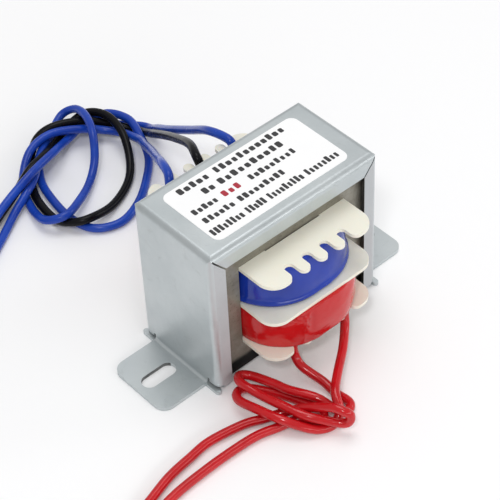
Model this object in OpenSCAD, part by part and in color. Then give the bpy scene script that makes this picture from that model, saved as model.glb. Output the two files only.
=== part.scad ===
// Small chassis transformer: EI laminations and a two-section bobbin in a
// folded steel frame with slotted feet, with loose flying leads.
// X runs from foot to foot, -Y is the side of the primary leads, +Z is up.
// The origin is on the mounting surface, under the middle of the core.

/* [Core] */
// Width of an E sheet, and length of an I sheet
core_w = 48; // [42:0.5:60]
// Height of the closed core, E and I together
core_h = 40; // [36:0.5:52]
// Width of an outer leg and of both yokes
leg_w = 8; // [6:0.25:9]
// Width of the centre leg
centre_leg_w = 16; // [12:0.5:18]
// Number of sheets in the stack
sheet_count = 46; // [36:2:60]
// Distance from one sheet to the next, varnish included
sheet_pitch = 0.5; // [0.4:0.01:0.55]
// Thickness of one sheet
sheet_t = 0.48; // [0.3:0.01:0.5]
// Gap at the butt joint between an E and its I
butt_gap = 0.03; // [0.01:0.01:0.1]

/* [Frame] */
// Thickness of the frame's sheet steel
frame_t = 1; // [0.6:0.05:1.2]
// Gap between the core and each side plate of the frame
frame_side_gap = 0.1; // [0.05:0.01:0.3]
// Gap between the core's faces and the frame's lips
frame_lip_gap = 0.6; // [0.2:0.05:1]
// Gap above and below the core, where the frame holds it
seat_gap = 0.05; // [0.02:0.01:0.1]
// Outer radius of the frame's bends
frame_bend_r = 1.7; // [1.3:0.1:2.5]
// Width of the lips down the sides
side_lip_w = 4.2; // [3:0.1:6]
// Height of the lips under the top plate
top_lip_h = 4.8; // [3:0.1:7]
// Width of the open mitre between two lips
mitre_gap = 0.4; // [0.2:0.05:0.8]
// Height of the side plates' lower edge above the surface
side_edge_z = 1.6; // [1.4:0.1:2.5]

/* [Claws] */
// Height of the claws' underside above the surface
claw_lift = 0.1; // [0:0.05:0.5]
// How far each claw reaches in under the core
claw_reach = 3; // [2:0.1:5]
// Inner radius of the claws' bend
claw_bend_r = 0.3; // [0.2:0.05:0.4]

/* [Feet] */
// How far each foot stands out from its side plate
foot_reach = 13.35; // [11:0.05:18]
// Width of each foot
foot_w = 18.5; // [14:0.5:20]
// Radius of the feet's outer corners
foot_corner_r = 3; // [1:0.25:5]
// Inner radius of the foot's bend
foot_bend_r = 0.7; // [0.4:0.05:1]
// Distance from the side plate to the middle of the slot
slot_offset = 6.9; // [6:0.1:8]
// Width of the mounting slot
slot_w = 4; // [3:0.1:5]
// End-to-end length of the mounting slot
slot_l = 9.3; // [6:0.1:10]
// Width of the relief notch at each end of the foot's bend
notch_w = 0.6; // [0.3:0.05:1]
// Height of the relief notches
notch_h = 2.4; // [1.8:0.1:4]
// Width of the ears beside the foot's bend
ear_w = 1.5; // [1:0.1:2]
// Thickness of the ears
ear_t = 0.9; // [0.5:0.05:1]
// How far the ears stand out past the frame's front and back
ear_out = 0.5; // [0:0.1:1]

/* [Bobbin] */
// Clearance between the centre leg and the bobbin's tube
tube_gap = 0.2; // [0.1:0.05:0.4]
// Wall of the bobbin's tube
tube_wall = 0.9; // [0.6:0.05:1.2]
// Clearance between the bobbin and the core's window
window_gap = 0.1; // [0.05:0.01:0.3]
// Thickness of the three flanges
flange_t = 0.9; // [0.6:0.05:1.2]
// Length of the flanges from front to back
flange_l = 44.7; // [42:0.1:52]
// Radius of the flanges' outer corners
lobe_r = 4.4; // [2:0.1:5]
// Number of slots in each comb at the primary's end
front_slots = 4; // [2:1:4]
// Distance between two slots of a comb at the primary's end
front_pitch = 5.24; // [4.8:0.02:5.4]
// Number of slots in each comb at the secondary's end
rear_slots = 5; // [3:1:5]
// Distance between two slots of a comb at the secondary's end
rear_pitch = 4.85; // [4.7:0.05:5]
// Width of a comb slot
comb_slot_w = 2.4; // [2.3:0.05:2.6]
// Depth of a comb slot
comb_slot_l = 4.4; // [3.5:0.1:5]
// Radius where a lobe meets the outermost comb slot
lobe_inner_r = 1.8; // [1:0.1:2]

/* [Windings] */
// Clearance between a winding and the bobbin's tube or flanges
winding_gap = 0.08; // [0.03:0.01:0.15]
// Thickness of the wrapped tape
tape_t = 0.3; // [0.2:0.05:0.5]
// Gap between a winding and the tape round it
tape_gap = 0.02; // [0.01:0.01:0.05]
// Radius of the wraps' corners, seen from above
wrap_corner_r = 13.5; // [10:0.5:14]
// Gap between the wraps and the outer legs
wrap_leg_gap = 0.15; // [0.1:0.01:0.3]
// Length of the primary's wrap from front to back
primary_l = 47.2; // [42:0.1:49]
// Height of the primary wrap's widest place above its lower end
primary_swell_z = 5.2; // [1:0.1:9]
// Radius of the primary wrap's swelled side
primary_swell_r = 27; // [16:0.5:40]
// Length of the secondary's wrap from front to back
secondary_l = 41.2; // [38:0.1:45]
// Height of the secondary wrap's widest place above its lower end
secondary_swell_z = 1.6; // [1:0.1:9]
// Radius of the secondary wrap's swelled side
secondary_swell_r = 19; // [16:0.5:40]

/* [Label] */
// Length of the label
label_l = 39.6; // [20:0.1:44]
// Width of the label
label_w = 19.5; // [10:0.1:21]
// Thickness of the label
label_t = 0.1; // [0.05:0.01:0.3]
// Radius of the label's corners
label_r = 2; // [0.5:0.1:4]

/* [Leads] */
// Outer diameter of a lead's insulation
lead_d = 2.2; // [1.6:0.05:2.2]
// Diameter of the stranded conductor
conductor_d = 1; // [0.6:0.05:1.4]
// Length of the stripped and tinned end
tinned_l = 7; // [3:0.5:12]

/* [Hidden] */

$fn = 64;
eps = 0.01;

// Core
stack_d = sheet_count * sheet_pitch;
window_w = (core_w - centre_leg_w) / 2 - leg_w;
window_h = core_h - 2 * leg_w;
core_z = claw_lift + frame_t + seat_gap;
window_z = core_z + leg_w;

// Frame
frame_w = core_w + 2 * (frame_side_gap + frame_t);
frame_d = stack_d + 2 * (frame_lip_gap + frame_t);
frame_h = core_z + core_h + seat_gap + frame_t;
foot_bend_out_r = foot_bend_r + frame_t;

// Bobbin
tube_in_w = centre_leg_w + 2 * tube_gap;
tube_in_d = stack_d + 2 * tube_gap;
tube_w = tube_in_w + 2 * tube_wall;
tube_d = tube_in_d + 2 * tube_wall;
flange_w = centre_leg_w + 2 * (window_w - window_gap);
bobbin_z = window_z + window_gap;
bobbin_h = window_h - 2 * window_gap;
section_h = (bobbin_h - 3 * flange_t) / 2;

// Windings
wrap_w = centre_leg_w + 2 * (window_w - wrap_leg_gap);
wrap_h = section_h - 2 * winding_gap;
primary_z = bobbin_z + flange_t + winding_gap;
secondary_z = primary_z + section_h + flange_t;

// Leads: each route runs from the winding to the stripped end
lead_sides = 8;
front_exit_x = (front_slots - 1) / 2 * front_pitch;
rear_exit_x = (rear_slots - 1) / 2 * rear_pitch;
primary_left_route = [
    [-front_exit_x, -19.5, primary_z],
    [-8, -20, 6.3], [-8, -22.5, 3.7], [-6.5, -28, 1.8], [-6.5, -32, 1.2],
    [-6.1, -35.7, 1.2], [-7.1, -37.4, 1.2], [-9, -37.5, 1.3], [-10.2, -35.7, 1.7],
    [-12, -31.5, 3.5], [-15, -25.5, 3.6], [-16, -21.5, 3.3], [-18, -16, 3], [-20.5, -15, 4],
    [-22, -17.5, 4.8], [-21, -22.5, 4.3], [-20, -27.5, 4.6], [-18, -34, 4.4],
    [-15, -38, 3.6], [-12.6, -40.9, 3.2], [-11.6, -41.9, 4.1], [-11.5, -41.9, 6],
    [-12.4, -40.8, 7], [-13.5, -38, 6.9], [-16, -32.5, 4.1], [-19, -29, 2.1],
    [-23.5, -26.5, 1.3], [-28, -24.5, 1.2], [-36.5, -23, 1.2], [-42.5, -23.5, 1.2],
    [-49.5, -24.5, 1.3], [-56.5, -26.5, 1.2], [-66.5, -29.5, 1.2], [-76, -33, 1.2]
];
primary_right_route = [
    [front_exit_x, -19.5, primary_z],
    [7.5, -20.5, 6.8], [5.5, -22.5, 5.2], [1.5, -26, 4.8], [-4.5, -30.5, 4.6],
    [-8.5, -34, 4.6], [-10.5, -37.5, 3.2], [-13, -38.5, 1.4], [-16.5, -37.5, 1.4],
    [-19.5, -35, 2.6], [-22.5, -30.5, 4], [-24, -25, 3.7], [-25, -20.5, 3.4],
    [-24, -18, 2.8], [-21.5, -17, 1.9], [-19, -18.5, 1.2], [-16, -23.5, 1.2],
    [-13.5, -29.5, 1.2], [-12.5, -33.5, 1.2], [-13.5, -35.5, 1.5], [-15.5, -35.5, 2],
    [-18.5, -32.5, 2.1], [-23, -30.5, 1.3], [-28, -29, 1.2], [-35, -28.5, 1.2],
    [-42.5, -28.5, 1.2], [-51, -29, 1.2], [-59, -30.5, 1.2], [-68.5, -32.5, 1.2]
];
secondary_left_route = [
    [-rear_exit_x, 19.1, 28],
    [-9.7, 19.2, 32.8], [-8.5, 21, 35], [-6, 26.5, 33.2], [-1.5, 34, 26.9],
    [4.5, 44.5, 18.9], [10, 54.5, 11], [13.5, 61.5, 6.3], [14, 68.5, 3.7],
    [11.5, 73.5, 3.3], [6, 77, 4.9], [-1.5, 80, 5.8], [-8.5, 79.5, 4.7], [-14.5, 75, 2.6],
    [-17.5, 70.5, 1.2], [-20, 63, 1.6], [-20.5, 57, 3.4], [-16.5, 54, 4.6], [-10, 57, 3.5],
    [-3.5, 61.5, 2.3], [1.5, 65.5, 4.1], [5, 70, 7.8], [8, 76.5, 8.2], [9, 82.5, 6.6],
    [6.5, 85.5, 4.4], [1, 83, 3.4], [-6.5, 78, 3.4], [-13.5, 71.5, 3.4], [-18, 68.5, 3.6],
    [-24, 66, 1.9], [-33, 60.5, 1.2], [-48, 51.5, 1.2]
];
secondary_centre_route = [
    [0, 19.1, secondary_z + wrap_h],
    [0, 21, 35], [3, 27, 33], [7, 37, 26.1], [11, 47, 18.4], [15, 57, 10.2],
    [18, 63.5, 4.6], [18.5, 68.5, 2], [15.5, 73.5, 2.5], [9.5, 78, 5], [1.5, 81.5, 6],
    [-4, 82.5, 4.4], [-9, 79.5, 1.7], [-13, 74, 1.2], [-16.5, 66.5, 1.3], [-17.5, 58, 1.2],
    [-16, 52.5, 2.8], [-12, 50, 3.4], [-4, 51.5, 1.5], [4, 55.5, 1.3], [9, 60.5, 2.7],
    [12.5, 67.5, 5.5], [13.5, 75, 6.2], [11, 80.5, 5.4], [6, 82, 3.2], [-1, 79, 2.9],
    [-7.5, 75, 5.2], [-13.5, 73, 5.4], [-20.5, 71, 2.3], [-29, 67.5, 1.2], [-40.5, 61, 1.2]
];
secondary_right_route = [
    [rear_exit_x, 19.1, 28],
    [9.7, 19.2, 32.8], [9.5, 21, 34.6], [9.5, 28, 32.7], [12.5, 39, 24.2],
    [15.5, 51.5, 14.8], [19, 60.5, 7.5], [21, 66, 2.8], [20.5, 70.5, 1.3],
    [14.5, 77.5, 1.2], [8, 82.5, 1.2], [1, 83.5, 1.2], [-5, 80.5, 1.2], [-11, 72.5, 1.2],
    [-13.5, 65, 1.3], [-14.5, 55.5, 1.2], [-12.5, 48.5, 1.2], [-6.5, 45.5, 1.2],
    [0.5, 47.5, 1.2], [7.5, 52.5, 1.2], [13.5, 58.5, 2.2], [16.5, 66, 4.1], [18, 72.5, 4.1],
    [15.5, 78.5, 3.7], [9, 79.5, 3.2], [1.5, 77.5, 3.3], [-5.5, 73.5, 6],
    [-14.5, 70.5, 6.6], [-24, 68.5, 4.3], [-34, 64, 3.5], [-43.5, 59, 3.4]
];

steel = [0.74, 0.77, 0.79];
core_grey = [0.47, 0.47, 0.43];
ivory = [0.92, 0.91, 0.84];
copper = [0.72, 0.38, 0.2];
tape_red = [0.75, 0.08, 0.08];
tape_blue = [0.14, 0.2, 0.62];
paper_white = [0.96, 0.96, 0.95];
insulation_red = [0.82, 0.1, 0.14];
insulation_blue = [0.12, 0.26, 0.75];
insulation_black = [0.06, 0.06, 0.06];
tin = [0.78, 0.77, 0.74];

// ---- shapes that several pieces share ----

// Rectangle centred on the origin, with round corners
module rounded_rect(w, l, r) {
    square([w - 2 * r, l], center = true);
    square([w, l - 2 * r], center = true);
    for (x = [-1, 1], y = [-1, 1])
        translate([x * (w / 2 - r), y * (l / 2 - r)])
            circle(r = r);
}

// Outline standing on the X axis, square at its foot and round at its top
module arch_outline(w, h, r) {
    translate([-w / 2, 0])
        square([w, h - r]);
    translate([-w / 2 + r, 0])
        square([w - 2 * r, h]);
    for (x = [-1, 1])
        translate([x * (w / 2 - r), h - r])
            circle(r = r);
}

// Block with its upright and top edges rounded
module bent_block(w, d, h, r) {
    intersection() {
        linear_extrude(h)
            rounded_rect(w, d, r);
        translate([0, d / 2, 0])
            rotate([90, 0, 0])
                linear_extrude(d)
                    arch_outline(w, h, r);
        translate([-w / 2, 0, 0])
            rotate([90, 0, 90])
                linear_extrude(w)
                    arch_outline(d, h, r);
    }
}

// Repeats its children at the left and right, turned to face outwards
module both_ends() {
    for (side = [0, 180])
        rotate([0, 0, side])
            children();
}

// ---- frame ----

// Top plate, side plates and lips, still closed at the mitres
module channel() {
    inner_r = frame_bend_r - frame_t;
    difference() {
        bent_block(frame_w, frame_d, frame_h, frame_bend_r);
        translate([0, 0, -eps])
            bent_block(frame_w - 2 * frame_t, frame_d - 2 * frame_t, frame_h - frame_t + eps, inner_r);
        opening_w = frame_w - 2 * side_lip_w;
        translate([-opening_w / 2, -frame_d, -eps])
            cube([opening_w, 2 * frame_d, frame_h - top_lip_h + eps]);
    }
}

// Open mitre between a side lip and the top lip, at one corner
module mitre_cut() {
    corner_x = frame_w / 2 - frame_bend_r / 2;
    corner_z = frame_h - frame_bend_r / 2;
    reach = 1.5 * max(side_lip_w, top_lip_h);
    lean = atan2(frame_w / 2 - side_lip_w - corner_x, corner_z - frame_h + top_lip_h);
    for (y = [-1, 1])
        translate([corner_x, y * frame_d / 2, corner_z])
            rotate([0, -lean, 0])
                translate([-mitre_gap / 2, -frame_t - eps, -reach])
                    cube([mitre_gap, 2 * (frame_t + eps), reach]);
}

// Everything of the side plates and lips that is missing at the foot of the channel
module lower_cut() {
    translate([-frame_w, -frame_d, -eps])
        cube([2 * frame_w, 2 * frame_d, side_edge_z + eps]);
}

// Foot with its bend, standing out to the right
module foot() {
    bend_x = frame_w / 2 + foot_bend_r;
    bend_z = frame_t + foot_bend_r;
    tip_x = frame_w / 2 + foot_reach;
    // bend from the side plate into the foot
    translate([bend_x, foot_w / 2, bend_z])
        rotate([90, 0, 0])
            linear_extrude(foot_w)
                intersection() {
                    difference() {
                        circle(r = foot_bend_out_r);
                        circle(r = foot_bend_r);
                    }
                    translate([-foot_bend_out_r, -foot_bend_out_r])
                        square(foot_bend_out_r);
                }
    // flat plate with round outer corners
    difference() {
        linear_extrude(frame_t)
            union() {
                translate([bend_x - eps, -foot_w / 2])
                    square([tip_x - foot_corner_r - bend_x + eps, foot_w]);
                translate([bend_x, -foot_w / 2 + foot_corner_r])
                    square([tip_x - bend_x, foot_w - 2 * foot_corner_r]);
                for (y = [-1, 1])
                    translate([tip_x - foot_corner_r, y * (foot_w / 2 - foot_corner_r)])
                        circle(r = foot_corner_r);
            }
        translate([frame_w / 2 + slot_offset, 0, 0])
            mounting_slot();
    }
    // side plate above the bend
    translate([frame_w / 2 - frame_t, -foot_w / 2, bend_z - eps])
        cube([frame_t, foot_w, side_edge_z]);
}

module mounting_slot() {
    end_x = (slot_l - slot_w) / 2;
    translate([-end_x, -slot_w / 2, -1])
        cube([2 * end_x, slot_w, frame_t + 2]);
    for (x = [-1, 1])
        translate([x * end_x, 0, -1])
            cylinder(d = slot_w, h = frame_t + 2);
}

// Narrow ears at foot level, one at each end of the foot's bend
module ears() {
    tip_y = frame_d / 2 + ear_out;
    outer_x = frame_w / 2 + foot_bend_r;
    linear_extrude(ear_t)
        union() {
            translate([outer_x - ear_w, -tip_y + ear_w / 2])
                square([ear_w, 2 * tip_y - ear_w]);
            for (y = [-1, 1])
                translate([outer_x - ear_w / 2, y * (tip_y - ear_w / 2)])
                    circle(d = ear_w);
        }
}

// Claw at the foot of the lip at the front right, folded in under the core
module claw() {
    left_x = frame_w / 2 - side_lip_w;
    width = side_lip_w - frame_bend_r;
    out_r = claw_bend_r + frame_t;
    bend_y = -frame_d / 2 + out_r;
    bend_z = claw_lift + out_r;
    translate([left_x, 0, 0]) {
        // what is left of the lip
        translate([0, -frame_d / 2, bend_z - eps])
            cube([width, frame_t, side_edge_z - bend_z + 2 * eps]);
        // bend
        translate([0, bend_y, bend_z])
            rotate([90, 0, 90])
                linear_extrude(width)
                    intersection() {
                        difference() {
                            circle(r = out_r);
                            circle(r = claw_bend_r);
                        }
                        translate([-out_r, -out_r])
                            square(out_r);
                    }
        // flat tongue under the core
        translate([0, bend_y - eps, claw_lift])
            cube([width, claw_reach, frame_t]);
    }
}

module mounting_frame() {
    color(steel)
        union() {
            difference() {
                channel();
                both_ends()
                    mitre_cut();
                lower_cut();
                both_ends()
                    for (y = [-1, 1])
                        translate([frame_w / 2 - frame_t - eps, y * (foot_w + notch_w) / 2 - notch_w / 2, 0])
                            cube([frame_t + 2 * eps, notch_w, notch_h]);
            }
            both_ends() {
                foot();
                ears();
                claw();
                mirror([0, 1, 0])
                    claw();
            }
        }
}

// ---- core ----

// E sheet with its back at the top
module e_outline() {
    difference() {
        translate([-core_w / 2, leg_w + butt_gap])
            square([core_w, core_h - leg_w - butt_gap]);
        for (x = [-1, 1])
            translate([x * (centre_leg_w + window_w) / 2, leg_w + window_h / 2])
                square([window_w, window_h], center = true);
    }
}

module i_outline() {
    translate([-core_w / 2, 0])
        square([core_w, leg_w]);
}

// Stands one outline on end at each sheet's place, every other one upside down
module interleaved_stack() {
    for (k = [0 : sheet_count - 1])
        translate([0, -stack_d / 2 + k * sheet_pitch + (sheet_pitch + sheet_t) / 2, core_z])
            rotate([90, 0, 0])
                linear_extrude(sheet_t)
                    translate([0, k % 2 * core_h])
                        scale([1, 1 - 2 * (k % 2)])
                            children();
}

module e_laminations() {
    color(core_grey)
        interleaved_stack()
            e_outline();
}

module i_laminations() {
    color(core_grey)
        interleaved_stack()
            i_outline();
}

// ---- bobbin ----

module flange_outline() {
    rounded_rect(flange_w, flange_l, lobe_r);
}

// What is cut from one end of a flange to leave a comb of slots and fingers
module comb_cut(slots, pitch) {
    tip_y = flange_l / 2;
    slot_y = tip_y - comb_slot_l + comb_slot_w / 2;
    finger_r = (pitch - comb_slot_w) / 2;
    outer_x = (slots - 1) / 2 * pitch;
    for (k = [0 : slots - 1])
        translate([k * pitch - outer_x, slot_y]) {
            translate([-comb_slot_w / 2, 0])
                square([comb_slot_w, comb_slot_l]);
            circle(d = comb_slot_w);
        }
    // round tips of the fingers
    for (k = [1 : slots - 1])
        translate([(k - 0.5) * pitch - outer_x, tip_y - finger_r])
            difference() {
                translate([-finger_r - eps, 0])
                    square([2 * (finger_r + eps), finger_r + eps]);
                circle(r = finger_r);
            }
    // round inner corners of the two lobes
    for (x = [-1, 1])
        translate([x * (outer_x + comb_slot_w / 2 + lobe_inner_r), tip_y - lobe_inner_r])
            difference() {
                translate([x > 0 ? -lobe_inner_r - eps : 0, 0])
                    square([lobe_inner_r + eps, lobe_inner_r + eps]);
                circle(r = lobe_inner_r);
            }
}

module comb_flange() {
    linear_extrude(flange_t)
        difference() {
            flange_outline();
            comb_cut(rear_slots, rear_pitch);
            mirror([0, 1])
                comb_cut(front_slots, front_pitch);
        }
}

module bobbin() {
    color(ivory)
        translate([0, 0, bobbin_z])
            difference() {
                union() {
                    comb_flange();
                    translate([0, 0, flange_t + section_h])
                        linear_extrude(flange_t)
                            flange_outline();
                    translate([0, 0, bobbin_h - flange_t])
                        comb_flange();
                    translate([-tube_w / 2, -tube_d / 2, 0])
                        cube([tube_w, tube_d, bobbin_h]);
                }
                translate([-tube_in_w / 2, -tube_in_d / 2, -1])
                    cube([tube_in_w, tube_in_d, bobbin_h + 2]);
            }
}

// ---- windings and their tape ----

// Section of a wrap, from its middle out to the swelled side
module wrap_section(outer_r, swell_z, swell_r) {
    intersection() {
        square([outer_r, wrap_h]);
        translate([outer_r - swell_r, swell_z])
            circle(r = swell_r, $fn = 256);
    }
}

// Solid wrap of the given width and length at its widest, with round corners
module solid_wrap(w, l, swell_z, swell_r) {
    straight_x = w / 2 - wrap_corner_r;
    straight_y = l / 2 - wrap_corner_r;
    for (x = [0, 1], y = [0, 1])
        mirror([x, 0, 0])
            mirror([0, y, 0])
                translate([straight_x, straight_y, 0])
                    rotate_extrude(angle = 90)
                        wrap_section(wrap_corner_r, swell_z, swell_r);
    for (side = [0, 180])
        rotate([0, 0, side]) {
            translate([0, straight_y, 0])
                rotate([90, 0, 90])
                    translate([0, 0, -straight_x])
                        linear_extrude(2 * straight_x)
                            wrap_section(wrap_corner_r, swell_z, swell_r);
            translate([straight_x, 0, 0])
                rotate([90, 0, 0])
                    translate([0, 0, -straight_y])
                        linear_extrude(2 * straight_y)
                            wrap_section(wrap_corner_r, swell_z, swell_r);
        }
    translate([-straight_x, -straight_y, 0])
        cube([2 * straight_x, 2 * straight_y, wrap_h]);
}

// Copper between the tube and the tape
module winding(l, swell_z, swell_r) {
    inset = 2 * (tape_t + tape_gap);
    color(copper)
        difference() {
            solid_wrap(wrap_w - inset, l - inset, swell_z, swell_r);
            translate([-tube_w / 2 - winding_gap, -tube_d / 2 - winding_gap, -1])
                cube([tube_w + 2 * winding_gap, tube_d + 2 * winding_gap, wrap_h + 2]);
        }
}

module wound_tape(l, swell_z, swell_r) {
    difference() {
        solid_wrap(wrap_w, l, swell_z, swell_r);
        translate([0, 0, -eps])
            scale([1, 1, (wrap_h + 2 * eps) / wrap_h])
                solid_wrap(wrap_w - 2 * tape_t, l - 2 * tape_t, swell_z, swell_r);
    }
}

module primary_winding() {
    translate([0, 0, primary_z])
        winding(primary_l, primary_swell_z, primary_swell_r);
}

module primary_tape() {
    color(tape_red)
        translate([0, 0, primary_z])
            wound_tape(primary_l, primary_swell_z, primary_swell_r);
}

module secondary_winding() {
    translate([0, 0, secondary_z])
        winding(secondary_l, secondary_swell_z, secondary_swell_r);
}

module secondary_tape() {
    color(tape_blue)
        translate([0, 0, secondary_z])
            wound_tape(secondary_l, secondary_swell_z, secondary_swell_r);
}

// ---- label ----

module rating_label() {
    color(paper_white)
        translate([0, 0, frame_h])
            linear_extrude(label_t)
                rounded_rect(label_l, label_w, label_r);
}

// ---- leads ----

function unit(v) = v / norm(v);

// Smooth curve through a route: the point a fraction t of the way from point i to the next
function route_at(p, i, t) =
    let (
        n = len(p),
        a = i > 0 ? p[i - 1] : 2 * p[0] - p[1],
        b = p[i],
        c = p[i + 1],
        d = i + 2 < n ? p[i + 2] : 2 * p[n - 1] - p[n - 2]
    )
    0.5 * (2 * b + (c - a) * t + (2 * a - 5 * b + 4 * c - d) * t * t + (3 * b - a - 3 * c + d) * pow(t, 3));

// Centre line of a lead: the route's points and one more between each two
function centre_line(p) = concat(
    [for (i = [0 : len(p) - 2], t = [0, 0.5]) route_at(p, i, t)],
    [p[len(p) - 1]]
);

// Direction of the centre line at ring k; it leaves the winding straight up or down
function along(q, k) =
    k == 0 ? [0, 0, sign(q[1][2] - q[0][2])]
    : k == len(q) - 1 ? unit(q[k] - q[k - 1])
    : unit(q[k + 1] - q[k - 1]);

// What is left of v across the direction d
function across(v, d) = unit(v - (v * d) * d);

// Direction across each ring, carried along the line without a twist
function carried(q) = [
    for (k = 0, v = [1, 0, 0]; k < len(q); k = k + 1, v = across(v, along(q, min(k, len(q) - 1))))
        v
];

module lead(route) {
    q = centre_line(route);
    rings = len(q);
    v = carried(q);
    points = [
        for (k = [0 : rings - 1])
            let (d = along(q, k), x = across(v[k], d), y = cross(d, x))
            for (j = [0 : lead_sides - 1])
                let (turn = (j + 0.5) * 360 / lead_sides)
                q[k] + lead_d / 2 * (cos(turn) * x + sin(turn) * y)
    ];
    sides = [
        for (k = [0 : rings - 2], j = [0 : lead_sides - 1])
            let (
                a = k * lead_sides + j,
                b = k * lead_sides + (j + 1) % lead_sides,
                c = b + lead_sides,
                d = a + lead_sides
            )
            each [[a, d, c], [a, c, b]]
    ];
    start_face = [for (j = [0 : lead_sides - 1]) j];
    end_face = [for (j = [lead_sides - 1 : -1 : 0]) (rings - 1) * lead_sides + j];
    polyhedron(points, concat([start_face], sides, [end_face]), convexity = 10);
}

// Stripped and tinned conductor, standing out of the end of a lead
module tinned_end(route) {
    q = centre_line(route);
    d = along(q, len(q) - 1);
    color(tin)
        translate(q[len(q) - 1])
            rotate([0, acos(d[2]), atan2(d[1], d[0])])
                cylinder(d = conductor_d, h = tinned_l, $fn = 32);
}

module primary_lead_left() {
    color(insulation_red)
        lead(primary_left_route);
}

module primary_lead_right() {
    color(insulation_red)
        lead(primary_right_route);
}

module secondary_lead_left() {
    color(insulation_blue)
        lead(secondary_left_route);
}

module secondary_lead_centre() {
    color(insulation_black)
        lead(secondary_centre_route);
}

module secondary_lead_right() {
    color(insulation_blue)
        lead(secondary_right_route);
}

module primary_tinned_end_left() {
    tinned_end(primary_left_route);
}

module primary_tinned_end_right() {
    tinned_end(primary_right_route);
}

module secondary_tinned_end_left() {
    tinned_end(secondary_left_route);
}

module secondary_tinned_end_centre() {
    tinned_end(secondary_centre_route);
}

module secondary_tinned_end_right() {
    tinned_end(secondary_right_route);
}

mounting_frame();
e_laminations();
i_laminations();
bobbin();
primary_winding();
primary_tape();
secondary_winding();
secondary_tape();
rating_label();
primary_lead_left();
primary_lead_right();
secondary_lead_left();
secondary_lead_centre();
secondary_lead_right();
primary_tinned_end_left();
primary_tinned_end_right();
secondary_tinned_end_left();
secondary_tinned_end_centre();
secondary_tinned_end_right();
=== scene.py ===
"""Laminated chassis transformer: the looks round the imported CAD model."""

import math
import random

import bmesh
import bpy
from mathutils import Matrix, Vector, noise


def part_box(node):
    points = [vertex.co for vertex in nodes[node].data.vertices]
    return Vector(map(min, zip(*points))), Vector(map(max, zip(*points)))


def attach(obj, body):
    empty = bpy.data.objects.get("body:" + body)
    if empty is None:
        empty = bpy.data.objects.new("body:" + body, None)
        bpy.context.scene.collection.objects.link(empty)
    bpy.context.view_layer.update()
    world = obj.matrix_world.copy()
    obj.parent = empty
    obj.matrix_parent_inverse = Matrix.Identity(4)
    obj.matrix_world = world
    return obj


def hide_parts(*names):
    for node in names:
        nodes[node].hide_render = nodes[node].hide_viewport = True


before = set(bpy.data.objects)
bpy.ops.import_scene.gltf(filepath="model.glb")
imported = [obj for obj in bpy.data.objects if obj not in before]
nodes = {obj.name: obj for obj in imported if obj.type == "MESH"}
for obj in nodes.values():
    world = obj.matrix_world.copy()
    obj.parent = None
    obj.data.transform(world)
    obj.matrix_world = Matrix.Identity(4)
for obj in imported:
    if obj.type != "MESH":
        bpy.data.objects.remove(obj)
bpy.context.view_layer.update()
MM = 0.001


def show(name, data, material=None):
    """A new object in the scene that holds `data`, with `material` added to it."""
    obj = bpy.data.objects.new(name, data)
    bpy.context.collection.objects.link(obj)
    if material:
        data.materials.append(material)
    return obj


def mesh_of(bm, name):
    """The mesh that `bm` has built. `bm` is freed."""
    data = bpy.data.meshes.new(name)
    bm.to_mesh(data)
    bm.free()
    return data


# ---- camera: at the photograph's viewing angle ----

AZIMUTH, ELEVATION, ROLL = (math.radians(v) for v in (-39.829, 44.621, -2.945))
DISTANCE, TARGET = 423.508, Vector((-1.928, 1.084, 20.0))
FOCAL_LENGTH, PICTURE_WIDTH = 1838.981, 500
SENSOR_WIDTH = 36
back = Vector(
    (
        math.sin(AZIMUTH) * math.cos(ELEVATION),
        -math.cos(AZIMUTH) * math.cos(ELEVATION),
        math.sin(ELEVATION),
    )
)
level = Vector((math.cos(AZIMUTH), math.sin(AZIMUTH), 0))
upright = back.cross(level)
right = level * math.cos(ROLL) + upright * math.sin(ROLL)
up = upright * math.cos(ROLL) - level * math.sin(ROLL)
camera = show("camera", bpy.data.cameras.new("camera"))
camera.matrix_world = Matrix.Translation((TARGET + back * DISTANCE) * MM) @ Matrix(
    (right, up, back)
).transposed().to_4x4()
camera.data.sensor_width = SENSOR_WIDTH
camera.data.lens = SENSOR_WIDTH * FOCAL_LENGTH / PICTURE_WIDTH
camera.data.clip_start, camera.data.clip_end = 0.01, 50
bpy.context.scene.camera = camera


# ---- materials ----


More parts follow.
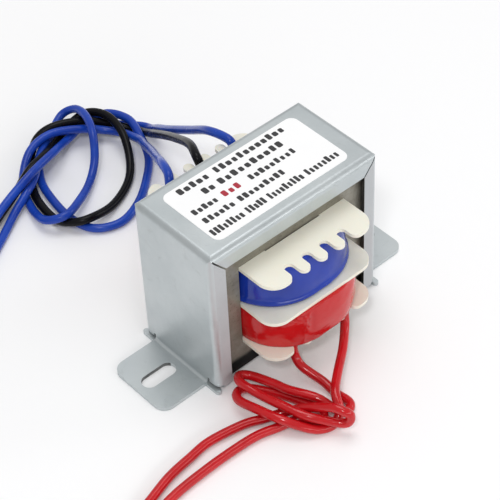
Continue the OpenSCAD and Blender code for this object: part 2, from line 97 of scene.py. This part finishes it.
class Nodes:
    """A material's node tree, with short calls for the nodes used here."""

    def __init__(self, name):
        self.mat = bpy.data.materials.new(name)
        self.mat.use_nodes = True
        self.tree = self.mat.node_tree
        self.bsdf = self.tree.nodes["Principled BSDF"]
        self.coords = self.tree.nodes.new("ShaderNodeTexCoord").outputs["Object"]

    def add(self, kind, inputs=(), **settings):
        n = self.tree.nodes.new(kind)
        for k, v in settings.items():
            setattr(n, k, v)
        for k, v in dict(inputs).items():
            self.put(n.inputs[k], v)
        return n

    def put(self, socket, v):
        """Link a socket, or set a value."""
        if isinstance(v, bpy.types.NodeSocket):
            self.tree.links.new(v, socket)
        else:
            socket.default_value = v

    def stretched(self, scale):
        inputs = {"Vector": self.coords, "Scale": scale}
        return self.add("ShaderNodeMapping", inputs).outputs[0]

    def noise(self, scale, detail=3, rough=0.5, vector=None, distortion=0.0):
        """Fractal noise over the object's own coordinates, or over `vector`."""
        n = self.add(
            "ShaderNodeTexNoise",
            {
                "Vector": vector or self.coords,
                "Scale": scale,
                "Detail": detail,
                "Roughness": rough,
                "Distortion": distortion,
            },
        )
        return n.outputs["Fac"]

    def ramp(self, fac, *stops):
        """Colours or greys at positions between 0 and 1."""
        n = self.add("ShaderNodeValToRGB", {"Fac": fac})
        e = n.color_ramp.elements
        while len(e) < len(stops):
            e.new(0.5)
        for el, (pos, col) in zip(e, stops):
            el.position = pos
            el.color = (*col, 1) if isinstance(col, tuple) else (col, col, col, 1)
        return n.outputs["Color"]

    def mix(self, fac, a, b):
        """Colour b over colour a."""
        n = self.add("ShaderNodeMix", data_type="RGBA")
        for socket, v in ((n.inputs[0], fac), (n.inputs[6], a), (n.inputs[7], b)):
            if isinstance(v, tuple):
                v = (*v, 1)
            self.put(socket, v)
        return n.outputs[2]

    def math(self, op, a, b=0.0, c=0.0):
        """One step of arithmetic on sockets or numbers."""
        n = self.add("ShaderNodeMath", operation=op)
        for i, v in enumerate((a, b, c)):
            self.put(n.inputs[i], v)
        return n.outputs[0]

    def bump(self, height, strength, distance):
        inputs = {"Height": height, "Strength": strength, "Distance": distance}
        return self.add("ShaderNodeBump", inputs).outputs[0]

    def surface(self, **values):
        """Set the shader's inputs, named with underscores for spaces, and give the material."""
        for k, v in values.items():
            k = k.replace("_", " ")
            if isinstance(v, tuple) and self.bsdf.inputs[k].type == "RGBA":
                v = (*v, 1)
            self.put(self.bsdf.inputs[k], v)
        return self.mat


def zinc_steel(name, dark, light, metallic, smooth, dull):
    """Bright zinc plating on sheet steel: faint rolling lines, blotches and a mottled gloss."""
    m = Nodes(name)
    blotch = m.noise(75, 4, 0.6)
    lines = m.noise(900, 2, 0.6, m.stretched((1, 1, 0.03)))
    colour = m.ramp(blotch, (0.3, dark), (0.7, light))
    colour = m.mix(m.math("MULTIPLY", m.noise(26, 2, 0.5), 0.3), colour, (0.57, 0.57, 0.61))
    worn = m.noise(330, 5, 0.7, distortion=0.8)
    colour = m.mix(m.ramp(worn, (0.58, 0.0), (0.74, 0.45)), colour, (0.40, 0.43, 0.43))
    rough = m.ramp(m.noise(120, 4, 0.65), (0.3, smooth), (0.7, dull))
    height = m.math("ADD", m.math("MULTIPLY", lines, 0.5), m.noise(500, 3, 0.6))
    return m.surface(
        Base_Color=colour,
        Metallic=metallic,
        Roughness=rough,
        Normal=m.bump(height, 0.12, 0.0002),
    )


def bare_edge_and_shade():
    """Sheared edge of the sheet, bare and dull, and darkened further as painted shade where the
    slot walls lie in shadow.
    """
    m = Nodes("bare_edge_and_shade")
    return m.surface(
        Base_Color=m.ramp(
            m.noise(700, 3, 0.6), (0.35, (0.10, 0.105, 0.105)), (0.7, (0.22, 0.225, 0.22))
        ),
        Metallic=0.5,
        Roughness=0.55,
        Normal=m.bump(m.noise(1200, 3), 0.3, 0.0002),
    )


def core_steel(low, half_width):
    """Varnished transformer steel: brownish grey and blotchy.

    Painted shade: black along the foot, at height `low`, and down both sides, standing in for the
    shadow under the core and in the gaps beside the frame's lips.
    """
    m = Nodes("core_steel")
    blotch = m.noise(160, 5, 0.65)
    colour = m.ramp(
        blotch, (0.3, (0.20, 0.185, 0.15)), (0.5, (0.27, 0.255, 0.215)), (0.72, (0.36, 0.345, 0.29))
    )
    specks = m.ramp(m.noise(1500, 2, 0.5), (0.62, 0.0), (0.7, 1.0))
    colour = m.mix(m.math("MULTIPLY", specks, 0.35), colour, (0.10, 0.085, 0.06))
    place = m.add("ShaderNodeSeparateXYZ", {"Vector": m.coords}).outputs
    wander = m.math("MULTIPLY_ADD", m.noise(300, 3, 0.6), 0.0016, -0.0008)
    above = m.math("ADD", m.math("SUBTRACT", place["Z"], low), wander)
    inside = m.math("SUBTRACT", half_width, m.math("ABSOLUTE", place["X"]))
    inside = m.math("ADD", inside, wander)
    # Painted shade: the core turns black near its foot and both sides, where it lies in shadow, and
    # is made more metallic there so that, being black, it reflects almost nothing.
    foot = black_below(m, above, 2.8 * MM, 4.6 * MM)
    sides = black_below(m, inside, 1.4 * MM, 2.6 * MM)
    painted_shade = m.math("MAXIMUM", foot, sides)
    underside = black_below(m, m.math("SUBTRACT", place["Z"], low), 0.02 * MM, 0.06 * MM)
    painted_shade = m.math("MULTIPLY", painted_shade, m.math("MULTIPLY_ADD", underside, -0.2, 1.0))
    colour = m.mix(painted_shade, colour, (0.004, 0.004, 0.0035))
    return m.surface(
        Base_Color=colour,
        Metallic=m.math("MULTIPLY_ADD", painted_shade, 0.4, 0.6),
        Roughness=m.ramp(blotch, (0.3, 0.48), (0.7, 0.34)),
        Normal=m.bump(m.noise(700, 4, 0.6), 0.25, 0.0002),
    )


def black_below(m, distance, full, none):
    """1 up to the distance `full` from an edge, falling to 0 at `none`."""
    n = m.add(
        "ShaderNodeMapRange",
        {"Value": distance, "From Min": full, "From Max": none, "To Min": 1.0, "To Max": 0.0},
        interpolation_type="SMOOTHSTEP",
    )
    return n.outputs[0]


def painted_gap_shade():
    """Painted shade: near-black, on the lips' inner edges, where the gap beside the core lies in
    shadow.
    """
    m = Nodes("painted_gap_shade")
    return m.surface(
        Base_Color=m.ramp(
            m.noise(400, 3, 0.6), (0.35, (0.008, 0.007, 0.006)), (0.7, (0.03, 0.027, 0.022))
        ),
        Roughness=0.45,
        Normal=m.bump(m.noise(900, 3, 0.6), 0.2, 0.0002),
    )


def ivory_plastic():
    """Moulded ivory nylon with a soft gloss and a little light inside."""
    m = Nodes("ivory_nylon")
    colour = m.ramp(m.noise(90, 3, 0.5), (0.3, (0.86, 0.835, 0.715)), (0.7, (0.89, 0.87, 0.765)))
    return m.surface(
        Base_Color=colour,
        Roughness=m.ramp(m.noise(300, 3, 0.6), (0.3, 0.30), (0.7, 0.38)),
        Subsurface_Weight=0.12,
        Subsurface_Radius=(0.8, 0.6, 0.4),
        Subsurface_Scale=0.0008,
        IOR=1.45,
        Normal=m.bump(m.noise(450, 3, 0.5), 0.1, 0.0002),
    )


def copper_wire():
    """Enamelled copper wire in flat layers."""
    m = Nodes("enamelled_copper")
    turns = m.add(
        "ShaderNodeTexWave",
        {"Vector": m.coords, "Scale": 1100, "Distortion": 0.4},
        bands_direction="Z",
    )
    colour = m.ramp(m.noise(200, 3), (0.3, (0.42, 0.14, 0.045)), (0.7, (0.6, 0.23, 0.08)))
    return m.surface(
        Base_Color=colour,
        Metallic=0.8,
        Roughness=0.3,
        Coat_Weight=0.6,
        Coat_Roughness=0.1,
        Normal=m.bump(turns.outputs["Fac"], 0.6, 0.0002),
    )


def film_tape(name, dark, light, uneven):
    """Polyester tape: thin glossy film with faint creases and the marks of the turns below."""
    m = Nodes(name)
    colour = m.ramp(m.noise(60, 3, 0.55), (0.3, dark), (0.7, light))
    creases = m.noise(150, 5, 0.6, m.stretched((0.6, 0.6, 1.7)), 0.8)
    turns = m.noise(1200, 2, 0.5, m.stretched((0.05, 0.05, 1)))
    height = m.math("MULTIPLY_ADD", turns, 0.12, creases)
    return m.surface(
        Base_Color=colour,
        Roughness=m.ramp(m.noise(240, 4, 0.6), (0.35, 0.08), (0.7, 0.17)),
        IOR=1.47,
        Normal=m.bump(height, uneven, 0.0004),
    )


def pvc(name, dark, light, smooth, dull, waxy, ior):
    """Extruded PVC insulation: soft gloss and a waxy unevenness."""
    m = Nodes(name)
    colour = m.ramp(m.noise(140, 3, 0.5), (0.3, dark), (0.7, light))
    return m.surface(
        Base_Color=colour,
        Roughness=m.ramp(m.noise(400, 3, 0.6), (0.3, smooth), (0.7, dull)),
        IOR=ior,
        Normal=m.bump(m.noise(420, 3, 0.5), waxy, 0.0003),
    )


def label_paper():
    """Satin white label stock."""
    m = Nodes("label_paper")
    colour = m.ramp(m.noise(120, 2), (0.3, (0.945, 0.945, 0.95)), (0.7, (0.97, 0.97, 0.97)))
    return m.surface(
        Base_Color=colour, Roughness=0.42, Normal=m.bump(m.noise(2500, 2), 0.05, 0.0001)
    )


def label_ink(name, dark, light):
    """Matt printing ink."""
    m = Nodes(name)
    return m.surface(Base_Color=m.ramp(m.noise(3000, 2), (0.3, dark), (0.7, light)), Roughness=0.5)


def tinned_copper():
    """Strands dipped in solder: silver grey with a wavy skin."""
    m = Nodes("tinned_copper")
    colour = m.ramp(m.noise(900, 3), (0.3, (0.55, 0.53, 0.5)), (0.7, (0.72, 0.71, 0.68)))
    return m.surface(
        Base_Color=colour,
        Metallic=0.95,
        Roughness=m.ramp(m.noise(1500, 3), (0.3, 0.22), (0.7, 0.4)),
        Normal=m.bump(m.noise(1800, 3), 0.3, 0.0001),
    )


def dress(node, *materials):
    """Give a CAD piece its materials. The first is on every face."""
    data = nodes[node].data
    data.materials.clear()
    for material in materials:
        data.materials.append(material)


core_low, core_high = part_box("e_laminations")
SIDE_LIP_W, FRAME_T, FRAME_GAP = 4.2 * MM, 1.0 * MM, 0.1 * MM
SLOT_X, SLOT_L, SLOT_W = 32 * MM, 8.6 * MM, 4.4 * MM
NEAR = 0.1 * MM


def dress_frame(high, core_half_w):
    """Plating all over, duller on the lips, with painted shade on the lips' inner edges and bare
    slot edges darkened further as painted shade.
    """
    dress(
        "mounting_frame",
        zinc_steel("zinc_steel", (0.49, 0.54, 0.55), (0.58, 0.625, 0.63), 0.75, 0.33, 0.46),
        zinc_steel("zinc_steel_lips", (0.455, 0.475, 0.485), (0.515, 0.535, 0.545), 0.2, 0.5, 0.6),
        painted_gap_shade(),
        bare_edge_and_shade(),
    )
    lips, gap_shade_faces, cut = 1, 2, 3
    mesh = nodes["mounting_frame"].data
    lip_edge_x = core_half_w + FRAME_GAP + FRAME_T - SIDE_LIP_W
    lip_y = max(abs(v.co.y) for v in mesh.vertices if v.co.z > high.z / 2)
    for face in mesh.polygons:
        n, c = face.normal, face.center
        from_slot = abs(abs(c.x) - SLOT_X)
        in_slot = abs(c.y) < SLOT_W / 2 + NEAR and from_slot < SLOT_L / 2 + NEAR
        if abs(n.y) > 0.95 and abs(abs(c.y) - lip_y) < NEAR and abs(c.x) > lip_edge_x:
            face.material_index = lips
        # Painted shade: the lips' inner edges, beside the shadowed gap to the core.
        elif abs(n.x) > 0.9 and abs(abs(c.x) - lip_edge_x) < 2 * NEAR:
            face.material_index = gap_shade_faces
        # Slot walls: bare sheared steel, made darker still as painted shade.
        elif in_slot and abs(n.z) < 0.5:
            face.material_index = cut


dress_frame(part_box("mounting_frame")[1], core_high.x)
core = core_steel(core_low.z, core_high.x)
dress("e_laminations", core)
dress("i_laminations", core)
dress("bobbin", ivory_plastic())
copper = copper_wire()
dress("primary_winding", copper)
dress("secondary_winding", copper)
dress("rating_label", label_paper())


# ---- tape: film drawn round each coil, its edges folded in over the turns ----

WRAP_CORNER_R = 13.5 * MM
FILM_T = 0.28 * MM
FILM_STEP = 0.3 * MM
LIP_W, LIP_T = 3.2 * MM, 0.035 * MM
LIP_PROUD = 0.05 * MM
LIP_START = 0.2 * MM


def wrap_ring(width, length):
    """Stations round the wrap: (centre x, centre y, outward x, outward y), anticlockwise."""
    sx, sy, r = width / 2 - WRAP_CORNER_R, length / 2 - WRAP_CORNER_R, WRAP_CORNER_R
    stations = []
    corners = ((sx, -sy, -90), (sx, sy, 0), (-sx, sy, 90), (-sx, -sy, 180))
    for i, (cx, cy, start) in enumerate(corners):
        n = round(r * math.pi / 2 / FILM_STEP)
        for k in range(n):
            a = math.radians(start + 90 * k / n)
            stations.append((cx, cy, math.cos(a), math.sin(a)))
        nx, ny, _ = corners[(i + 1) % 4]
        a = math.radians(start + 90)
        n = max(1, round(math.hypot(nx - cx, ny - cy) / FILM_STEP))
        for k in range(n):
            t = k / n
            stations.append((cx + (nx - cx) * t, cy + (ny - cy) * t, math.cos(a), math.sin(a)))
    return stations


def film_section(height, swell_z, swell_r):
    """Section of the film, as (inset, height) points, and which of them are its outer wall.

    The wall swells to an arc of radius `swell_r` whose crown is at height `swell_z`, and the
    edges fold in over the coil as lips.
    """
    rows = round(height / FILM_STEP)
    wall = []
    for k in range(rows + 1):
        z = height * k / rows
        wall.append((swell_r - math.sqrt(swell_r**2 - (z - swell_z) ** 2), z))
    foot, head = wall[0][0], wall[-1][0]
    below, above = -LIP_PROUD, height + LIP_PROUD
    lower_lip = [(foot + LIP_W, below), (foot + LIP_START, below)]
    upper_lip = [(head + LIP_START, above), (head + LIP_W, above)]
    inner = [(head + LIP_W, above - LIP_T), (head + FILM_T, above - LIP_T)]
    inner += [(inset + FILM_T, z) for inset, z in reversed(wall[1:-1:6])]
    inner += [(foot + FILM_T, below + LIP_T), (foot + LIP_W, below + LIP_T)]
    first = len(lower_lip)
    return lower_lip + wall + upper_lip + inner, range(first, first + len(wall))


def wound_tape(name, node, swell_z, swell_r, relief, material):
    """Film over one coil. `relief(x, y, z)` is how far it stands out, with z from its foot."""
    low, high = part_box(node)
    section, wall = film_section(high.z - low.z, swell_z, swell_r)
    bm = bmesh.new()
    rings = []
    for cx, cy, ux, uy in wrap_ring(high.x - low.x, high.y - low.y):
        ring = []
        for k, (inset, z) in enumerate(section):
            r = WRAP_CORNER_R - inset
            if k in wall:
                r += relief((cx + r * ux) / MM, (cy + r * uy) / MM, z / MM) * MM
            ring.append(bm.verts.new((cx + r * ux, cy + r * uy, low.z + z)))
        rings.append(ring)
    for a, b in zip(rings, rings[1:] + rings[:1]):
        for k in range(len(a)):
            j = (k + 1) % len(a)
            bm.faces.new((a[k], b[k], b[j], a[j])).smooth = True
    bmesh.ops.recalc_face_normals(bm, faces=bm.faces)
    obj = show(name, mesh_of(bm, name), material)
    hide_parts(node)
    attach(obj, "root")


def ripple(x, y, z, scale, seed):
    """Smooth noise between about -1 and 1."""
    return noise.noise(Vector((x, y, z * 1.6)) / scale + Vector((seed, 0, 0)))


def bell(d, width):
    """1 at d = 0, falling off evenly to both sides."""
    return math.exp(-((d / width) ** 2))


# Places and widths on the films, in millimetres, with z from the film's foot.
FOLD_X, FOLD_LEAN, FOLD_W = -7.3, 0.07, 0.7
HOLLOW_BESIDE_FOLD, HOLLOW_W = 1.6, 1.0
LEFT_WRINKLES_X, LEFT_WRINKLES_Z = -10.6, 9.4
FOLD_WRINKLES_Z = 9.0
RIM_Z, RIM_W = 1.0, 0.6
TAPE_END_X, TAPE_END_W = 2.9, 0.12


def primary_relief(x, y, z):
    """A fold pinched into the film at the front, wrinkles beside it and shallow dents all round."""
    d = 0.12 * ripple(x, y, z, 5.5, 3) + 0.03 * ripple(x, y, z, 1.8, 9)
    if y < 0:
        fold = x - FOLD_X - FOLD_LEAN * z
        left = bell(x - LEFT_WRINKLES_X, 3.0) * bell(z - LEFT_WRINKLES_Z, 1.4)
        beside = bell(fold, 1.3) * bell(z - FOLD_WRINKLES_Z, 1.6)
        d += 0.75 * math.exp(-abs(fold) / FOLD_W) * bell(z - 7.8, 4.6)
        d -= 0.22 * bell(fold - HOLLOW_BESIDE_FOLD, HOLLOW_W) * bell(z - 6.5, 4.5)
        d += 1.3 * ripple(x, y, z, 1.1, 21) * left
        d += 1.1 * ripple(x, y, z, 1.0, 33) * beside
    return d


def secondary_relief(x, y, z):
    """A rolled rim along the lower edge, with the tape's end as a small step in it."""
    d = 0.06 * ripple(x, y, z, 6.0, 5) + 0.02 * ripple(x, y, z, 1.6, 13)
    rim = 0.62 * bell(z - RIM_Z, RIM_W)
    ended = 1.0 / (1.0 + math.exp((x - TAPE_END_X) / TAPE_END_W)) if y < 0 else 1.0
    d += rim * (0.8 + 0.2 * ended) + 0.09 * ended * bell(z - RIM_Z, 3.5)
    return d


wound_tape(
    "primary_tape_film",
    "primary_tape",
    swell_z=5.2 * MM,
    swell_r=27 * MM,
    relief=primary_relief,
    material=film_tape("tape_red", (0.48, 0.006, 0.008), (0.60, 0.012, 0.014), 0.3),
)
wound_tape(
    "secondary_tape_film",
    "secondary_tape",
    swell_z=1.6 * MM,
    swell_r=19 * MM,
    relief=secondary_relief,
    material=film_tape("tape_blue", (0.007, 0.028, 0.27), (0.014, 0.046, 0.40), 0.1),
)


# ---- leads ----

# Routes of the leads in millimetres, the same points as in the CAD source.
ROUTES = {
    "primary_left": [
        (-7.86, -19.5, 10.23), (-8, -20, 6.3), (-8, -22.5, 3.7), (-6.5, -28, 1.8),
        (-6.5, -32, 1.2), (-6.1, -35.7, 1.2), (-7.1, -37.4, 1.2), (-9, -37.5, 1.3),
        (-10.2, -35.7, 1.7), (-12, -31.5, 3.5), (-15, -25.5, 3.6), (-16, -21.5, 3.3),
        (-18, -16, 3), (-20.5, -15, 4), (-22, -17.5, 4.8), (-21, -22.5, 4.3), (-20, -27.5, 4.6),
        (-18, -34, 4.4), (-15, -38, 3.6), (-12.6, -40.9, 3.2), (-11.6, -41.9, 4.1),
        (-11.5, -41.9, 6), (-12.4, -40.8, 7), (-13.5, -38, 6.9), (-16, -32.5, 4.1),
        (-19, -29, 2.1), (-23.5, -26.5, 1.3), (-28, -24.5, 1.2), (-36.5, -23, 1.2),
        (-42.5, -23.5, 1.2), (-49.5, -24.5, 1.3), (-56.5, -26.5, 1.2), (-66.5, -29.5, 1.2),
        (-76, -33, 1.2),
    ],
    "primary_right": [
        (7.86, -19.5, 10.23), (7.5, -20.5, 6.8), (5.5, -22.5, 5.2), (1.5, -26, 4.8),
        (-4.5, -30.5, 4.6), (-8.5, -34, 4.6), (-10.5, -37.5, 3.2), (-13, -38.5, 1.4),
        (-16.5, -37.5, 1.4), (-19.5, -35, 2.6), (-22.5, -30.5, 4), (-24, -25, 3.7),
        (-25, -20.5, 3.4), (-24, -18, 2.8), (-21.5, -17, 1.9), (-19, -18.5, 1.2),
        (-16, -23.5, 1.2), (-13.5, -29.5, 1.2), (-12.5, -33.5, 1.2), (-13.5, -35.5, 1.5),
        (-15.5, -35.5, 2), (-18.5, -32.5, 2.1), (-23, -30.5, 1.3), (-28, -29, 1.2),
        (-35, -28.5, 1.2), (-42.5, -28.5, 1.2), (-51, -29, 1.2), (-59, -30.5, 1.2),
        (-68.5, -32.5, 1.2),
    ],
    "secondary_left": [
        (-9.7, 19.1, 28), (-9.7, 19.2, 32.8), (-8.5, 21, 35), (-6, 26.5, 33.2), (-1.5, 34, 26.9),
        (4.5, 44.5, 18.9), (10, 54.5, 11), (13.5, 61.5, 6.3), (14, 68.5, 3.7), (11.5, 73.5, 3.3),
        (6, 77, 4.9), (-1.5, 80, 5.8), (-8.5, 79.5, 4.7), (-14.5, 75, 2.6), (-17.5, 70.5, 1.2),
        (-20, 63, 1.6), (-20.5, 57, 3.4), (-16.5, 54, 4.6), (-10, 57, 3.5), (-3.5, 61.5, 2.3),
        (1.5, 65.5, 4.1), (5, 70, 7.8), (8, 76.5, 8.2), (9, 82.5, 6.6), (6.5, 85.5, 4.4),
        (1, 83, 3.4), (-6.5, 78, 3.4), (-13.5, 71.5, 3.4), (-18, 68.5, 3.6), (-24, 66, 1.9),
        (-33, 60.5, 1.2), (-48, 51.5, 1.2),
    ],
    "secondary_centre": [
        (0, 19.1, 32.07), (0, 21, 35), (3, 27, 33), (7, 37, 26.1), (11, 47, 18.4), (15, 57, 10.2),
        (18, 63.5, 4.6), (18.5, 68.5, 2), (15.5, 73.5, 2.5), (9.5, 78, 5), (1.5, 81.5, 6),
        (-4, 82.5, 4.4), (-9, 79.5, 1.7), (-13, 74, 1.2), (-16.5, 66.5, 1.3), (-17.5, 58, 1.2),
        (-16, 52.5, 2.8), (-12, 50, 3.4), (-4, 51.5, 1.5), (4, 55.5, 1.3), (9, 60.5, 2.7),
        (12.5, 67.5, 5.5), (13.5, 75, 6.2), (11, 80.5, 5.4), (6, 82, 3.2), (-1, 79, 2.9),
        (-7.5, 75, 5.2), (-13.5, 73, 5.4), (-20.5, 71, 2.3), (-29, 67.5, 1.2), (-40.5, 61, 1.2),
    ],
    "secondary_right": [
        (9.7, 19.1, 28), (9.7, 19.2, 32.8), (9.5, 21, 34.6), (9.5, 28, 32.7), (12.5, 39, 24.2),
        (15.5, 51.5, 14.8), (19, 60.5, 7.5), (21, 66, 2.8), (20.5, 70.5, 1.3), (14.5, 77.5, 1.2),
        (8, 82.5, 1.2), (1, 83.5, 1.2), (-5, 80.5, 1.2), (-11, 72.5, 1.2), (-13.5, 65, 1.3),
        (-14.5, 55.5, 1.2), (-12.5, 48.5, 1.2), (-6.5, 45.5, 1.2), (0.5, 47.5, 1.2),
        (7.5, 52.5, 1.2), (13.5, 58.5, 2.2), (16.5, 66, 4.1), (18, 72.5, 4.1), (15.5, 78.5, 3.7),
        (9, 79.5, 3.2), (1.5, 77.5, 3.3), (-5.5, 73.5, 6), (-14.5, 70.5, 6.6), (-24, 68.5, 4.3),
        (-34, 64, 3.5), (-43.5, 59, 3.4),
    ],
}

PVC = {
    "red": pvc("pvc_red", (0.48, 0.003, 0.007), (0.60, 0.006, 0.011), 0.08, 0.15, 0.32, 1.5),
    "blue": pvc("pvc_blue", (0.005, 0.040, 0.35), (0.012, 0.068, 0.47), 0.2, 0.28, 0.08, 1.4),
    "black": pvc("pvc_black", (0.003, 0.003, 0.004), (0.005, 0.005, 0.007), 0.22, 0.3, 0.05, 1.25),
}
LEAD_D = 2.2
CONDUCTOR_D = 1.0
LAY_LENGTH = 7 * MM
STRAND_STEPS = 29
# How far the tip of a stripped end is moved aside, in millimetres, to clear the lead next to it.
EASED = {"primary_right": (0.1, -0.6, 0)}
tin = tinned_copper()


def round_curve(name, radius, resolution):
    """Curve data for a round piece with closed ends."""
    data = bpy.data.curves.new(name, "CURVE")
    data.dimensions = "3D"
    data.bevel_depth = radius
    data.bevel_resolution = resolution
    data.use_fill_caps = True
    return data


def curve_length(ends, steps=16):
    """Length of the smooth curve through all points but the first and the last."""
    length = 0.0
    for i in range(len(ends) - 3):
        a, b, c, d = ends[i : i + 4]
        last = b
        for k in range(1, steps + 1):
            t = k / steps
            square = (2 * a - 5 * b + 4 * c - d) * t**2
            cube = (3 * b - a - 3 * c + d) * t**3
            q = 0.5 * (2 * b + (c - a) * t + square + cube)
            length += (q - last).length
            last = q
    return length


def lead(name, route, material):
    """One open Bezier spline, the same smooth curve through the points as the CAD tube's."""
    p = [Vector(q) * MM for q in route]
    ends = [2 * p[0] - p[1], *p, 2 * p[-1] - p[-2]]
    data = round_curve(name, LEAD_D / 2 * MM, 4)
    data.resolution_u = 8
    spline = data.splines.new("BEZIER")
    spline.bezier_points.add(len(p) - 1)
    for i, b in enumerate(spline.bezier_points):
        tangent = (ends[i + 2] - ends[i]) / 6
        b.handle_left_type = b.handle_right_type = "FREE"
        b.co, b.handle_left, b.handle_right = p[i], p[i] - tangent, p[i] + tangent
    return show(name + "_insulation", data, material), curve_length(ends)


def stranded_end(name, node):
    """Six strands twisted round a seventh, wetted with solder, in place of the plain tinned end."""
    low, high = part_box(node)
    start = Vector(ROUTES[name][-1]) * MM
    along = low + high - 2 * start + Vector(EASED.get(name, (0, 0, 0))) * MM
    length = along.length
    along.normalize()
    across = along.orthogonal().normalized()
    strand_r = CONDUCTOR_D / 6 * MM
    wetted = 1.04
    data = round_curve(name + "_strands", strand_r * wetted, 2)
    for k in range(7):
        spline = data.splines.new("POLY")
        spline.points.add(STRAND_STEPS)
        r = 0 if k == 0 else 2 * strand_r
        uneven_cut = 1 - 0.02 * (k % 3)
        for i, p in enumerate(spline.points):
            t = i / STRAND_STEPS
            turn = math.tau * (k / 6 + t * length / LAY_LENGTH)
            off = Matrix.Rotation(turn, 3, along) @ across
            q = start + along * length * t * uneven_cut + off * r
            p.co = (*q, 1)
    obj = show(name + "_strands", data, tin)
    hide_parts(node)
    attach(obj, "root")
    return obj


for key, route in ROUTES.items():
    side, which = key.split("_")
    colour = "red" if side == "primary" else "black" if which == "centre" else "blue"
    obj, length = lead(key, route, PVC[colour])
    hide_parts(f"{side}_lead_{which}")
    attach(obj, "root")
    end = f"{side}_tinned_end_{which}"
    stranded_end(key, end)


# ---- label: greeked print, one plain block for each character, no words ----

label_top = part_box("rating_label")[1].z
INK_T = 0.02 * MM
CORNER_SHARE, CORNER_POINTS = 0.28, 5
BLOCK_WIDTHS = (0.58, 0.78)
TALL_SHARE, SHORT_HEIGHT = 0.35, 0.74


def slab(bm, outline):
    """Flat plate of ink on the label. The outline is anticlockwise, in millimetres."""
    low = [bm.verts.new((x * MM, y * MM, label_top)) for x, y in outline]
    top = [bm.verts.new((x * MM, y * MM, label_top + INK_T)) for x, y in outline]
    bm.faces.new(top)
    bm.faces.new(low[::-1])
    n = len(low)
    for k in range(n):
        bm.faces.new((low[k], low[(k + 1) % n], top[(k + 1) % n], top[k]))


def block(bm, x0, x1, y0, y1):
    """Plate with rounded corners."""
    r = CORNER_SHARE * min(x1 - x0, y1 - y0)
    left, right, foot, head = x0 + r, x1 - r, y0 + r, y1 - r
    outline = []
    for i, (cx, cy) in enumerate(((right, head), (left, head), (left, foot), (right, foot))):
        for k in range(CORNER_POINTS):
            a = math.radians(90 * i + 90 / (CORNER_POINTS - 1) * k)
            outline.append((cx + r * math.cos(a), cy + r * math.sin(a)))
    slab(bm, outline)


def greeked(name, words, material):
    """Blocks for characters. A word is (left, right, foot, height, pitch), in millimetres."""
    bm = bmesh.new()
    draw = random.Random(name)
    for x0, x1, foot, tall, pitch in words:
        n = max(1, round((x1 - x0) / pitch))
        pitch = (x1 - x0) / n
        for k in range(n):
            wide = pitch * draw.uniform(*BLOCK_WIDTHS)
            left = x0 + (k + 0.5) * pitch - wide / 2
            high = tall * (1.0 if k == 0 or draw.random() < TALL_SHARE else SHORT_HEIGHT)
            block(bm, left, left + wide, foot, foot + high)
    obj = show(name, mesh_of(bm, name), material)
    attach(obj, "root")


BLACK_WORDS = [
    (-16.3, -7.2, 7.0, 2.0, 1.75),
    (-5.7, 15.4, 7.0, 2.0, 1.75),
    (-12.0, -8.4, 3.5, 2.0, 1.75),
    (-7.4, 11.9, 3.5, 2.0, 1.85),
    (-18.1, -10.8, -0.1, 1.8, 1.4),
    (-1.6, 12.4, -0.1, 1.8, 1.55),
    (-18.0, -9.0, -3.7, 1.8, 1.45),
    (-7.9, 5.8, -3.7, 1.8, 1.5),
    (-19.2, -9.8, -7.8, 2.1, 1.2),
    (-9.0, -3.4, -7.8, 2.1, 1.2),
    (-2.6, 7.8, -7.8, 2.1, 1.2),
    (8.6, 18.5, -7.8, 2.1, 1.2),
]
RED_WORDS = [(-9.5, -4.0, -0.1, 1.9, 1.8)]
black_ink = label_ink("ink_black", (0.018, 0.018, 0.02), (0.035, 0.035, 0.037))
greeked("label_print_black", BLACK_WORDS, black_ink)
red_ink = label_ink("ink_red", (0.38, 0.012, 0.03), (0.44, 0.02, 0.04))
greeked("label_print_red", RED_WORDS, red_ink)


# ---- floor and light ----

FLOOR_HALF_SIZE = 4
FLOOR_GLOW, WORLD_GLOW = 0.05, 0.5


def floor_white():
    """Matt white floor that glows faintly."""
    m = Nodes("floor_white")
    return m.surface(
        Base_Color=m.ramp(m.noise(2, 2), (0.3, (0.925, 0.925, 0.93)), (0.7, (0.935, 0.935, 0.94))),
        Roughness=0.6,
        Specular_IOR_Level=0.2,
        Emission_Color=(1, 1, 1),
        Emission_Strength=FLOOR_GLOW,
    )


def stage_plane():
    """Large flat floor."""
    bm = bmesh.new()
    bmesh.ops.create_grid(bm, x_segments=1, y_segments=1, size=FLOOR_HALF_SIZE)
    obj = show("floor", mesh_of(bm, "floor"), floor_white())


stage_plane()


def area(name, place, size, power, tall=None):
    """Soft light turned towards the object; square, or `tall` high."""
    data = bpy.data.lights.new(name, "AREA")
    data.size, data.energy = size, power
    if tall:
        data.shape, data.size_y = "RECTANGLE", tall
    obj = show(name, data)
    obj.location = place
    away = Vector(place) - Vector((0, 0, 20 * MM))
    obj.rotation_euler = away.to_track_quat("Z", "Y").to_euler()


area("overhead_light", (0.12, 0.15, 0.9), 0.5, 2.3)
area("key_light", (-0.42, -0.35, 0.75), 0.1, 1.5)
area("front_strip", (0.1, -0.9, 0.42), 1.5, 2.6, tall=0.16)
area("right_light", (0.8, -0.35, 0.42), 0.2, 0.7)
area("rear_panel", (0.55, 0.66, 0.84), 0.9, 0.6)

world = bpy.data.worlds.new("studio")
world.use_nodes = True
background = world.node_tree.nodes["Background"]
background.inputs["Color"].default_value = (1, 1, 1, 1)
background.inputs["Strength"].default_value = WORLD_GLOW
bpy.context.scene.world = world
bpy.context.scene.view_settings.view_transform = "Standard"
